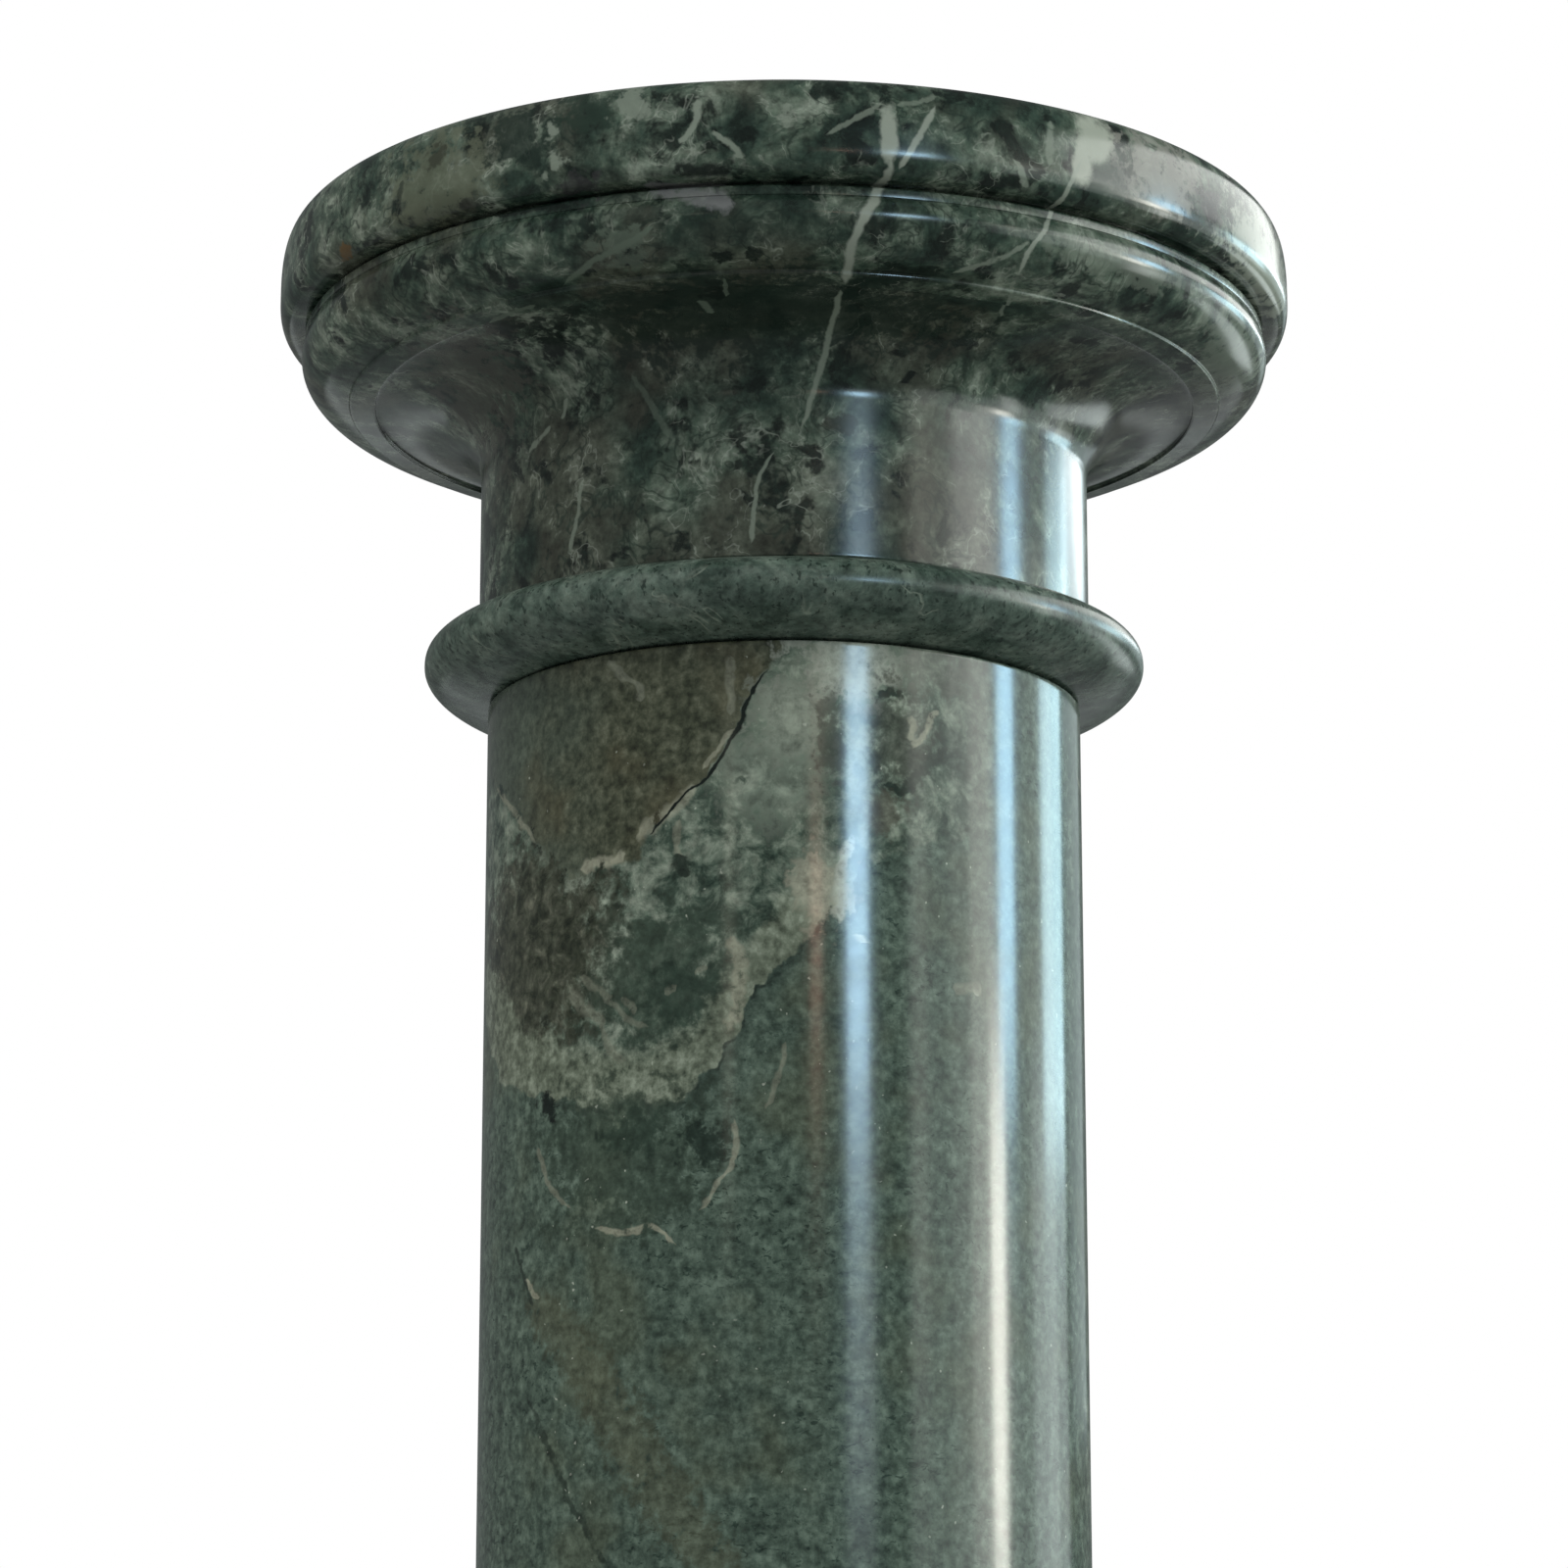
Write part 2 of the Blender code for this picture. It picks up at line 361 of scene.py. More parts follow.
RING_NOSE_DEPTH = 0.0260
RING_HEIGHT_SHAFT_SIDE = 0.0116
RING_FAR_SQUARENESS = 2.6
RING_DARK_GREEN = (0.026, 0.042, 0.032)
RING_GREEN = (0.064, 0.090, 0.071)
RING_LIGHT_GREEN = (0.108, 0.138, 0.110)
RING_DULLNESS = 0.21

# Sizes in the rings' marble, in mm
RING_CLOUD_SIZE = 12.0
RING_FLECK_SIZE = (1.6, 1.6, 2.6)
RING_VEIN_SPACING = 40.0
RING_VEIN_GAP = 20.0
RING_SPECKLE_SIZE = 2.4


def ring_profile(radius, height):
    """The disc as it lies over the shaft: its far side is the squarer one."""
    nose = (radius - RING_NOSE_DEPTH, RING_HEIGHT_SHAFT_SIDE)
    far = arc(nose, (RING_NOSE_DEPTH, height - RING_HEIGHT_SHAFT_SIDE), 90, 0, 30, RING_FAR_SQUARENESS)
    near = arc(nose, (RING_NOSE_DEPTH, RING_HEIGHT_SHAFT_SIDE), 0, -90, 30)
    return [(0.0, height)] + far + near[1:] + [(0.0, 0.0)]


def ring_marble(name, seed):
    """Plain green marble with dark flecks and a few thin, broken veins."""
    material, shader, place = marble(name)
    colour = coloured(mottle(place, RING_CLOUD_SIZE, 5.0, 0.66, seed, 0.8),
                      [(0.36, RING_DARK_GREEN), (0.50, RING_GREEN), (0.64, RING_LIGHT_GREEN)])
    ring_flecks = mottle(place, RING_FLECK_SIZE, 2.0, 0.6, seed + 8.0)
    colour = tint(colour, DEEP_GREEN, fade(ring_flecks, 0.58, 0.68, 0.75))
    veins = fade(abs(mottle(place, RING_VEIN_SPACING, 4.0, 0.6, seed + 2.0, 1.0) - 0.5), 0.010, 0.002)
    gaps = fade(mottle(place, RING_VEIN_GAP, 2.0, 0.5, seed + 6.0), 0.50, 0.6, 0.6)
    colour = tint(colour, PALE_GREEN, veins * gaps)
    colour = toned(colour, mottle(place, RING_SPECKLE_SIZE, 3.0, 0.65, seed + 4.0) * 2.0)
    polished(shader, place, colour, RING_DULLNESS)
    return material


for ring_node, seed, upturned in (("lower_ring", 61.0, True), ("upper_ring", 73.0, False)):
    ring_bed, ring_height, ring_radius = height_and_radius(ring_node)
    profile = ring_profile(ring_radius, ring_height)
    if upturned:
        profile = [(radius, ring_height - height) for radius, height in reversed(profile)]
    stone_object(ring_node + "_stone", turned(ring_node + "_stone", profile, ring_bed),
                 ring_marble("Plain green marble of the " + ring_node.replace("_", " "), seed),
                 ring_node)


# Shaft
# One straight drum of veined green marble, turned and polished to a mirror, with a pale band, a healed
# fissure and clouds of broken stone near its head. It stands between the two ring discs.

SHAFT_DULLNESS = 0.09

CREAM = (0.250, 0.250, 0.185)
PALE_CREAM = (0.330, 0.350, 0.290)
WARM_CREAM = (0.290, 0.290, 0.220)
DULL_CREAM = (0.160, 0.168, 0.125)
MILKY_GREEN = (0.240, 0.262, 0.210)
DUSTY_GREEN = (0.110, 0.116, 0.090)
SHADE_GREEN = (0.036, 0.054, 0.038)
SEAM_GREEN = (0.024, 0.038, 0.030)
INK_GREEN = (0.016, 0.030, 0.021)
HAIR_GREEN = (0.014, 0.022, 0.016)
FLECK_GREEN = (0.012, 0.024, 0.018)
MOULD_GREEN = (0.064, 0.074, 0.046)
OLIVE_STREAK = (0.078, 0.082, 0.050)
OLIVE_BROWN = (0.066, 0.060, 0.034)
GREENED_OLIVE = (0.050, 0.068, 0.052)
SMOKE_BROWN = (0.046, 0.049, 0.037)
RUST_STAIN = (0.090, 0.076, 0.056)

# From the darkest grains to the palest, at the values that the noise has there
GROUND_GREENS = [(0.36, (0.036, 0.056, 0.043)), (0.50, (0.057, 0.083, 0.063)), (0.64, (0.086, 0.116, 0.090))]
CLOUD_GREENS = [(0.33, (0.014, 0.026, 0.019)), (0.43, (0.040, 0.060, 0.044)), (0.51, (0.088, 0.114, 0.086)),
                (0.60, (0.142, 0.168, 0.130)), (0.72, (0.210, 0.236, 0.186))]
SLAB_OLIVES = [(0.35, (0.028, 0.032, 0.020)), (0.46, (0.044, 0.050, 0.031)), (0.56, (0.064, 0.069, 0.045)),
               (0.68, (0.094, 0.098, 0.068))]
RUBBLE_BROWNS = [(0.36, (0.012, 0.015, 0.009)), (0.47, (0.031, 0.035, 0.022)), (0.58, (0.056, 0.060, 0.042)),
                 (0.70, (0.120, 0.122, 0.088))]
BAND_CREAMS = [(0.36, (0.080, 0.096, 0.066)), (0.50, (0.120, 0.140, 0.100)), (0.64, (0.172, 0.194, 0.148))]

# Sizes in the shaft's marble, in mm
BROAD_SIZE = 36.0
CRUMB_SIZE = 6.5
GRIT_SIZE = 2.6
FLECK_SIZE = (2.6, 2.6, 1.5)
RUBBLE_SIZE = 5.0
DOT_SIZE = 1.7
CLOUD_SIZE = (70.0, 70.0, 130.0)
BACK_VEIN_SPACING = (110.0, 110.0, 200.0)
DRIFT_SIZE = 9.0
CLOUD_DRIFT = 5.0
VEIN_DRIFT = 2.2

# Points on the shaft are mm round it from its front line, and up from its head: those below have a minus sign
FISSURE = [(1, -2), (-8, -14), (-11, -21.5), (-14, -28), (-18, -34), (-23, -38), (-27.5, -41), (-32, -46),
           (-36.5, -51.6), (-43, -56)]
OLIVE_FOOT = [(-120, -15), (-105, -25), (-86, -37), (-72, -49), (-58, -56), (-43, -56), (-36.5, -51.6),
              (-32, -46), (-23, -38), (-18, -34), (-11, -21.5), (-8, -14), (1, -2)]
BAND_FOOT = [(-115, -85), (-100, -100), (-86, -110), (-74, -114), (-62, -117), (-52, -120), (-42, -118),
             (-34, -121), (-25, -118), (-20, -112.6), (-15, -106), (-9, -96), (-5, -89.5), (3.5, -80.5),
             (10.3, -73.5), (14.3, -68.5), (24, -58), (48, -50), (70, -42)]
BAND_HEAD = [(-115, -70), (-92, -84), (-86, -91), (-74, -98), (-55, -104.5), (-40, -107), (-27, -105),
             (-20, -97), (-12, -84), (-3, -72), (9, -59), (24, -48)]


def unrolled(place, foot_radius, foot_height):
    """A turned stone's side laid flat, as mm round it from its front line and mm up its profile. Gives both
    as one spot, and then the first alone."""
    x = place.node("SeparateXYZ", {}, {"Vector": place}, "X")
    y, z = (Tone(x.socket.node.outputs[axis]) for axis in ("Y", "Z"))
    radius = (x * x + y * y) ** 0.5
    around = radius * x.math("ARCTAN2", x, -y)
    up = radius + z - (foot_radius + foot_height) / MM
    return around.node("CombineXYZ", {}, {"X": around, "Y": up}), around


def wandering(spot, drift, reach):
    """A spot on a flat-laid side, moved by up to the reach, in mm, the way a drift of noise has it."""
    widened = (2 * reach, 2 * reach, 0.0)
    moved = spot.node("VectorMath", {"operation": "MULTIPLY_ADD"}, {0: drift, 1: widened, 2: spot})
    return spot.node("VectorMath", {"operation": "SUBTRACT"}, {0: moved, 1: (reach, reach, 0.0)})


def sides_of(spot):
    """How far round the stone a spot is, and how far up."""
    across = spot.node("SeparateXYZ", {}, {"Vector": spot}, "X")
    return across, Tone(across.socket.node.outputs["Y"])


def aside(spot_sides, line):
    """How far a spot is above a line, or right of an upright one, and its share of the way along it."""
    along = 0 if abs(line[-1][0] - line[0][0]) > abs(line[-1][1] - line[0][1]) else 1
    points = sorted(line, key=lambda point: point[along])
    start, run = points[0][along], points[-1][along] - points[0][along]
    low = min(point[1 - along] for point in points)
    span = max(point[1 - along] for point in points) - low + 0.001
    share = spot_sides[along].math("MULTIPLY_ADD", spot_sides[along], 1 / run, -start / run)
    shares = [((point[along] - start) / run, (point[1 - along] - low) / span) for point in points]
    level = share.node("FloatCurve", {"points": shares}, {"Value": share})
    return level.math("MULTIPLY_ADD", level, -span, spot_sides[1 - along]) - low, share


def veined(colour, spot, uneven, breaks, veins):
    """Draws veins that taper to their ends, with uneven edges and breaks. Each has its line, half its width
    in mm, its colour and its strength."""
    spot_sides = sides_of(spot)
    for line, half_width, vein_colour, strength in veins:
        run = [abs(b - a) for a, b in zip(line[0], line[-1])]
        away, share = aside(spot_sides, line)
        distance = away.math("MULTIPLY_ADD", abs(away), max(run) / math.hypot(*run) / half_width, uneven)
        near_end = fade(abs(share - 0.5), 0.30, 0.52, 3.5)
        colour = tint(colour, vein_colour, fade(distance + near_end, 1.7, 0.6, strength) * breaks)
    return colour


def patch(spot, ragged, centre, half_size, strength):
    """Where a ragged patch lies: its strength in it, 0 outside. Its centre and half its sizes are in mm."""
    shrunk = (1 / half_size[0], 1 / half_size[1], 0.0)
    moved = (-centre[0] * shrunk[0], -centre[1] * shrunk[1], 0.0)
    away = spot.node("VectorMath", {"operation": "MULTIPLY_ADD"}, {0: spot, 1: shrunk, 2: moved})
    distance = spot.node("VectorMath", {"operation": "LENGTH"}, {0: away}, "Value")
    return fade(distance + ragged, 1.25, 0.65, strength)


def patched(colour, spot, ragged, patches):
    """Lays ragged patches. Each has its centre, half its width and height in mm, its colour and its
    strength."""
    for centre, half_size, patch_colour, strength in patches:
        colour = tint(colour, patch_colour, patch(spot, ragged, centre, half_size, strength))
    return colour


shaft_material, shaft_shader, shaft_place = marble("Veined green marble of the shaft")
shaft_flat, shaft_around = unrolled(shaft_place, shaft_radius, shaft_bed + shaft_length)
shaft_drift = mottle(shaft_place, DRIFT_SIZE, 3.0, 0.6, output=1)
shaft_spot = wandering(shaft_flat, shaft_drift, CLOUD_DRIFT)
vein_spot = wandering(shaft_flat, shaft_drift, VEIN_DRIFT)
spot_around, spot_up = sides_of(shaft_spot)

broad = mottle(shaft_place, BROAD_SIZE, 3.0, 0.55, 3.0)
crumb = mottle(shaft_place, CRUMB_SIZE, 4.0, 0.66, 11.0, 0.3)
grit = mottle(shaft_place, GRIT_SIZE, 3.0, 0.62, 17.0)
ragged = crumb.math("MULTIPLY_ADD", crumb, 3.0, grit * 1.6 - 2.3)
grain = crumb.math("MULTIPLY_ADD", crumb, 0.45, grit * 0.55)

# The kinds of stone in the shaft
plain = coloured(grain, GROUND_GREENS)
plain = tint(plain, MOULD_GREEN, fade(broad, 0.50, 0.66, 0.5))
flecks = mottle(shaft_place, FLECK_SIZE, 3.0, 0.6, 29.0, 0.7)
plain = tint(plain, FLECK_GREEN, fade(flecks, 0.57, 0.66) * fade(broad, 0.60, 0.44, 0.8))
clouded = coloured(crumb, CLOUD_GREENS)
olive = coloured(grain, SLAB_OLIVES)
olive = tint(olive, OLIVE_BROWN, fade(broad, 0.46, 0.60, 0.6))
olive = tint(olive, GREENED_OLIVE, fade(shaft_around + broad * 80.0, -10, -50, 0.75))
rubble = coloured(mottle(shaft_place, RUBBLE_SIZE, 4.0, 0.68, 23.0, 0.5), RUBBLE_BROWNS)
band = coloured(grain, BAND_CREAMS)

# Where each kind lies: clouds over the band's foot, the olive slab at the head, and plain stone below
over_foot = aside((spot_around, spot_up), BAND_FOOT)[0]
in_clouds = fade(over_foot, -0.8, 0.8) * fade(spot_around, 72, 40) * fade(spot_around, -118, -108)
olive_edge = ragged * fade(spot_around, -45, -60, 7.0) + aside((spot_around, spot_up), OLIVE_FOOT)[0]
in_olive = fade(olive_edge, -0.8, 1.2) * fade(spot_around, 2.5, 0.5)
in_olive = in_olive * fade(shaft_around, -150, -125)
in_rubble = patch(shaft_spot, ragged * 0.5, (-78, -76), (35, 29), 0.95) * in_clouds
under_head = ragged * 4.0 - aside((spot_around, spot_up), BAND_HEAD)[0]
in_band = fade(under_head, -3.5, 3.5, 0.9) * in_clouds * fade(spot_around, 16, 8)

# Round the back and low down the stone has larger and fainter clouds, and a few long veins
low_down = fade(spot_up, -330.0, -380.0)
unseen = low_down.math("MAXIMUM", low_down, fade(abs(shaft_around + 8.0), 102.0, 124.0))
cloud = mottle(shaft_place, CLOUD_SIZE, 4.0, 0.5, 63.0, 0.5)
in_back_cloud = fade(cloud + (crumb - 0.5) * 0.15, 0.50, 0.58, 0.8) * unseen
back_vein = abs(mottle(shaft_place, BACK_VEIN_SPACING, 3.0, 0.42, 91.0, 0.2) - 0.5)
back_vein = fade(back_vein, 0.0040, 0.0010) * fade(broad, 0.46, 0.56, 0.6) * unseen

shaft_colour = tint(plain, clouded, in_clouds)
shaft_colour = tint(shaft_colour, clouded, in_back_cloud)
shaft_colour = tint(shaft_colour, CREAM, back_vein)
shaft_colour = tint(shaft_colour, rubble, in_rubble)
shaft_colour = patched(shaft_colour, shaft_spot, ragged * 0.6, [
    ((-31, -88), (21, 18), SHADE_GREEN, 0.8),
    ((-25, -92), (12, 9), INK_GREEN, 0.6),
])
shaft_colour = tint(shaft_colour, band, in_band)
shaft_colour = tint(shaft_colour, olive, in_olive)

# The plain stone darkens under the band's foot, and a broken black seam runs along it
under_band = fade(over_foot, -9.0, 0.0) * fade(over_foot, 0.8, -0.8)
shaft_colour = tint(shaft_colour, SEAM_GREEN, under_band * fade(abs(spot_around + 5.0), 30, 18, 0.6))
seam = fade(abs(over_foot + 0.8), 1.5, 0.4) * fade(crumb, 0.44, 0.54)
shaft_colour = tint(shaft_colour, BLACK_GREEN, seam * fade(abs(spot_around + 28.0), 50, 40, 0.6))

shaft_colour = patched(shaft_colour, shaft_spot, ragged, [
    ((-43, -133), (28, 17), SHADE_GREEN, 0.7),
    ((-20, -131), (7, 5), DEEP_GREEN, 0.8),
    ((-40, -127), (10, 5), INK_GREEN, 0.6),
    ((-69, -117.5), (3.4, 2.8), BLACK_GREEN, 0.95),
    ((-10.6, -36.8), (2.8, 1.9), INK_GREEN, 0.9),
    ((-8.6, -31.2), (1.6, 1.3), INK_GREEN, 0.8),
    ((17.5, -6.5), (15, 9), PALE_CREAM, 0.85),
    ((2, -20), (11, 11), MILKY_GREEN, 0.6),
    ((-3, -36), (13, 12), PALE_GREEN, 0.5),
    ((12, -25), (4, 11), SMOKE_BROWN, 0.6),
    ((28, -13.5), (5, 1.8), DEEP_GREEN, 0.9),
    ((30, -24), (9, 13), SMOKE_BROWN, 0.6),
    ((30, -38.6), (3.4, 1.2), DEEP_GREEN, 0.9),
    ((26, -45), (6, 5), RUST_STAIN, 0.5),
    ((9, -66), (7, 10), WARM_CREAM, 0.75),
    ((52.1, -89.5), (1.6, 1.3), MILKY_GREEN, 0.85),
    ((40, -5), (10, 8), DUSTY_GREEN, 0.5),
])
uneven = (grit - 0.5) * 2.8
breaks = fade(crumb, 0.32, 0.44)
shaft_colour = veined(shaft_colour, vein_spot, uneven, breaks, [
    ([(-81, -152), (-68, -171), (-54, -186), (-42, -202), (-33, -216), (-22, -231), (-8, -252)], 6.0,
     OLIVE_STREAK, 0.5),
    ([(-84, -149), (-80, -158), (-73, -170)], 0.8, HAIR_GREEN, 0.8),
    ([(-80, -185), (-71, -200), (-61, -216), (-52, -229), (-40, -245)], 0.9, HAIR_GREEN, 0.7),
    ([(-78, -160), (-72, -167)], 0.8, CREAM, 0.8),
    ([(-11, -21.5), (-22, -35.5)], 0.6, CREAM, 0.6),
    ([(-20, -37), (-31, -44.5), (-42, -52)], 1.6, CREAM, 0.6),
    ([(-40, -51), (-50, -56), (-60, -56)], 1.2, CREAM, 0.8),
    ([(-105, -24.5), (-86, -37), (-72, -49.3)], 0.8, DULL_CREAM, 0.9),
    ([(-14, -74), (-11.5, -86), (-11.5, -94.5), (-13.5, -100), (-18.5, -106)], 1.6, CREAM, 0.7),
    ([(-65, -88), (-52, -96), (-47, -105), (-40, -110)], 1.3, DULL_CREAM, 0.5),
    ([(-61, -82), (-50, -90), (-42, -97), (-33, -102)], 0.8, DULL_CREAM, 0.5),
    ([(-45, -92), (-38, -95)], 0.7, DULL_CREAM, 0.5),
    ([(-32, -91.5), (-27, -91)], 0.7, DULL_CREAM, 0.5),
    ([(-23, -87), (-19, -86)], 0.7, DULL_CREAM, 0.5),
    ([(-25, -45), (-28, -52.5), (-25, -58)], 0.8, DULL_CREAM, 0.8),
    ([(-28.5, -54.6), (-25.2, -63.1)], 1.2, HAIR_GREEN, 0.9),
    ([(-73, -125), (-71, -132), (-66, -139.5), (-54, -148)], 0.7, DULL_CREAM, 0.7),
    ([(-54, -148), (-47, -151.5), (-39, -151.6), (-35.5, -151), (-30, -155), (-25, -159)], 0.7, CREAM, 0.8),
    ([(-13, -122), (-13, -135), (-16, -140), (-21, -147), (-26, -151)], 0.6, CREAM, 0.6),
    ([(1, -103), (-2.2, -117), (-5.9, -125)], 0.6, DULL_CREAM, 0.7),
    ([(42.6, -14.8), (38.8, -20.2), (33.9, -27.8)], 0.8, CREAM, 0.8),
    ([(33.9, -17), (33.9, -26)], 0.9, CREAM, 0.7),
    ([(46.5, -24.5), (36.6, -33.5), (27.5, -41)], 1.2, HAIR_GREEN, 0.8),
    ([(44, -89), (56.5, -88)], 1.3, DULL_CREAM, 0.7),
    ([(21.3, -47.7), (14.3, -63.4), (15.1, -78.4)], 1.3, PALE_CREAM, 0.9),
    ([(20.3, -55.4), (19.5, -61.4), (16.9, -76.8)], 0.6, HAIR_GREEN, 0.9),
    ([(18.6, -76.8), (21.2, -80)], 0.9, PALE_CREAM, 0.8),
    ([(-14, -2), (-14, -12), (-13, -22)], 1.0, DULL_CREAM, 0.6),
    ([(-49.6, -0.4), (-44.8, -6.6), (-38.5, -11.3), (-38.5, -15.8)], 1.0, DULL_CREAM, 0.7),
])
unbroken = fade(grit, 0.20, 0.30)
shaft_colour = veined(shaft_colour, vein_spot, uneven * 0.5, unbroken, [(FISSURE, 0.4, BLACK_GREEN, 1.0)])
dots = fade(mottle(shaft_place, DOT_SIZE, 1.0, 0.5, 57.0), 0.74, 0.79)
shaft_colour = tint(shaft_colour, PALE_CREAM, dots * fade(broad, 0.50, 0.56, 0.7))
shaft_colour = toned(shaft_colour, grit.math("MULTIPLY_ADD", grit, 1.7, crumb * 0.7 - 0.2))

polished(shaft_shader, shaft_place, shaft_colour, SHAFT_DULLNESS)
shaft_profile = [(0.0, shaft_length), (shaft_radius, shaft_length), (shaft_radius, 0.0), (0.0, 0.0)]
stone_object("shaft_stone", turned("shaft_stone", shaft_profile, shaft_bed), shaft_material,
             "shaft")


# Capital
# One stone turned from dark broken marble with white veins: a round plate with a rounded rim, then groove,
# fillet, torus, a narrow soffit, cavetto and neck. It rests on the upper ring disc.

NECK_HEIGHT = 0.0438
CAVETTO_HEIGHT = 0.0194
CAVETTO_REACH = 0.0368
STEP_HEIGHT = 0.0017
SOFFIT_WIDTH = 0.0072
SOFFIT_RISE = 0.0010
SOFFIT_DROP = 0.0009
TORUS_OVERHANG = 0.0133
TORUS_DEPTH = 0.0170
TORUS_HEIGHT_BELOW_NOSE = 0.0118
TORUS_HEIGHT_ABOVE_NOSE = 0.0042
FILLET_SETBACK = 0.0008
FILLET_HEIGHT = 0.0026
GROOVE_DEPTH = 0.0030
GROOVE_HEIGHT = 0.0012
PLATE_RIM_DEPTH = 0.0070
PLATE_HEIGHT_BELOW_NOSE = 0.0080
PLATE_RIM_SQUARENESS = 3.0
CAPITAL_DULLNESS = 0.13
CAPITAL_SEED = 0.0

WHITE_WEDGE = (0.310, 0.330, 0.270)
GREY_VEIN = (0.170, 0.170, 0.170)
WARM_GREY = (0.205, 0.200, 0.172)
MOSSY_GREY = (0.096, 0.108, 0.072)
SOFT_GREEN = (0.140, 0.164, 0.128)
PEAT_BROWN = (0.066, 0.064, 0.052)
BARK_BROWN = (0.022, 0.023, 0.015)
SLATE_BLACK = (0.034, 0.032, 0.034)
RUST_SPOT = (0.100, 0.056, 0.018)

# Sizes in the capital's marble, in mm
CAPITAL_CRUMB_SIZE = 5.0
CAPITAL_DRIFT_SIZE = 8.0
CAPITAL_GRIT_SIZE = 2.4
CAPITAL_CLOUD_DRIFT = 4.0
CAPITAL_VEIN_DRIFT = 1.5

capital_bed, capital_height, plate_radius = height_and_radius("capital")
cavetto_top = NECK_HEIGHT + CAVETTO_HEIGHT
cavetto_edge = neck_radius + CAVETTO_REACH
torus_nose = cavetto_top + STEP_HEIGHT + TORUS_HEIGHT_BELOW_NOSE
torus_radius = cavetto_edge + TORUS_OVERHANG
fillet_foot = torus_nose + TORUS_HEIGHT_ABOVE_NOSE
fillet_radius = torus_radius - FILLET_SETBACK
groove_foot = fillet_foot + FILLET_HEIGHT
groove_radius = fillet_radius - GROOVE_DEPTH
plate_foot = groove_foot + GROOVE_HEIGHT
plate_nose = plate_foot + PLATE_HEIGHT_BELOW_NOSE
rim_centre = (plate_radius - PLATE_RIM_DEPTH, plate_nose)
torus_centre = (torus_radius - TORUS_DEPTH, torus_nose)
torus_start = math.degrees(math.asin(TORUS_HEIGHT_ABOVE_NOSE / TORUS_HEIGHT_BELOW_NOSE))
torus_end = -math.degrees(math.acos((cavetto_edge - torus_centre[0]) / TORUS_DEPTH))

capital_profile = (
    [(0.0, capital_height)]
    + arc(rim_centre, (PLATE_RIM_DEPTH, capital_height - plate_nose), 90, 0, 30, PLATE_RIM_SQUARENESS)
    + arc(rim_centre, (PLATE_RIM_DEPTH, PLATE_HEIGHT_BELOW_NOSE), 0, -90, 24, PLATE_RIM_SQUARENESS)[1:]
    + [(groove_radius, plate_foot), (groove_radius, groove_foot),
       (fillet_radius, groove_foot), (fillet_radius, fillet_foot)]
    + arc(torus_centre, (TORUS_DEPTH, TORUS_HEIGHT_BELOW_NOSE), torus_start, torus_end, 30)
    + [(cavetto_edge, cavetto_top + SOFFIT_RISE), (cavetto_edge - SOFFIT_WIDTH, cavetto_top)]
    + arc((cavetto_edge - SOFFIT_WIDTH, NECK_HEIGHT),
          (CAVETTO_REACH - SOFFIT_WIDTH, CAVETTO_HEIGHT + SOFFIT_DROP), 90, 180, 30)
    + [(neck_radius, 0.0), (0.0, 0.0)]
)
capital_material, capital_shader, capital_place = marble("Broken green marble of the capital")
capital_flat = unrolled(capital_place, neck_radius, capital_bed)[0]
capital_drift = mottle(capital_place, CAPITAL_DRIFT_SIZE, 3.0, 0.6, output=1)
capital_spot = wandering(capital_flat, capital_drift, CAPITAL_CLOUD_DRIFT)
capital_vein_spot = wandering(capital_flat, capital_drift, CAPITAL_VEIN_DRIFT)
capital_crumb = mottle(capital_place, CAPITAL_CRUMB_SIZE, 4.0, 0.62, 71.0, 0.3)
capital_grit = mottle(capital_place, CAPITAL_GRIT_SIZE, 3.0, 0.62, 17.0)
capital_ragged = capital_crumb.math("MULTIPLY_ADD", capital_crumb, 3.4, capital_grit * 1.6 - 2.5)

# Points on the capital are mm round it from its front line, and mm up its profile from the foot of its neck
capital_colour = patched(brecciated(capital_place, CAPITAL_SEED), capital_spot, capital_ragged, [
    # The first two dark patches are painted shade: the front of the cavetto and the front of the torus under
    # its nose are darkened where they face down and little light reaches them
    ((-8, 80), (62, 21), DEEP_GREEN, 0.8),
    ((-8, 124), (38, 8), DEEP_GREEN, 0.4),
    ((-97, 150), (17, 13), MOSSY_GREY, 0.7),
    ((-97, 157), (4, 3), BARK_BROWN, 0.7),
    ((109, 154), (16, 9), WARM_GREY, 0.75),
    ((88, 147), (6, 7), BOTTLE_GREEN, 0.7),
    ((167, 147), (30, 13), MILKY_GREEN, 0.8),
    ((95, 123), (24, 6), SOFT_GREEN, 0.55),
    ((160, 112), (26, 14), SOFT_GREEN, 0.65),
    ((-103, 70), (22, 26), PEAT_BROWN, 0.6),
    ((-70, 155), (9, 8), DEEP_GREEN, 0.85),
    ((-50, 160), (8, 4), INK_GREEN, 0.8),
    ((-54, 139), (6, 5), SLATE_BLACK, 0.7),
    ((-65, 74), (5, 8), BLACK_GREEN, 0.9),
    ((-15, 109.8), (3, 3), BLACK_GREEN, 0.9),
    ((-7, 110.7), (2.6, 3), BLACK_GREEN, 0.8),
    ((-18, 90), (3, 7), BLACK_GREEN, 0.8),
    ((131, 152), (7, 5), SLATE_BLACK, 0.75),
    ((15, 36.5), (4, 3), BARK_BROWN, 0.8),
    ((-137, 139.5), (3, 3.4), RUST_SPOT, 0.8),
    ((-39, 160), (5, 3.2), PALE_GREEN, 0.7),
    ((-61, 156), (1.8, 1.8), PALE_GREEN, 0.8),
    ((-59.3, 148.5), (2.2, 2.6), PALE_GREEN, 0.75),
    ((-63.8, 143.7), (1.6, 2), PALE_GREEN, 0.75),
    ((-42.5, 119.5), (8, 4), SAGE_GREEN, 0.7),
    ((-40, 111), (6, 4), SAGE_GREEN, 0.6),
])
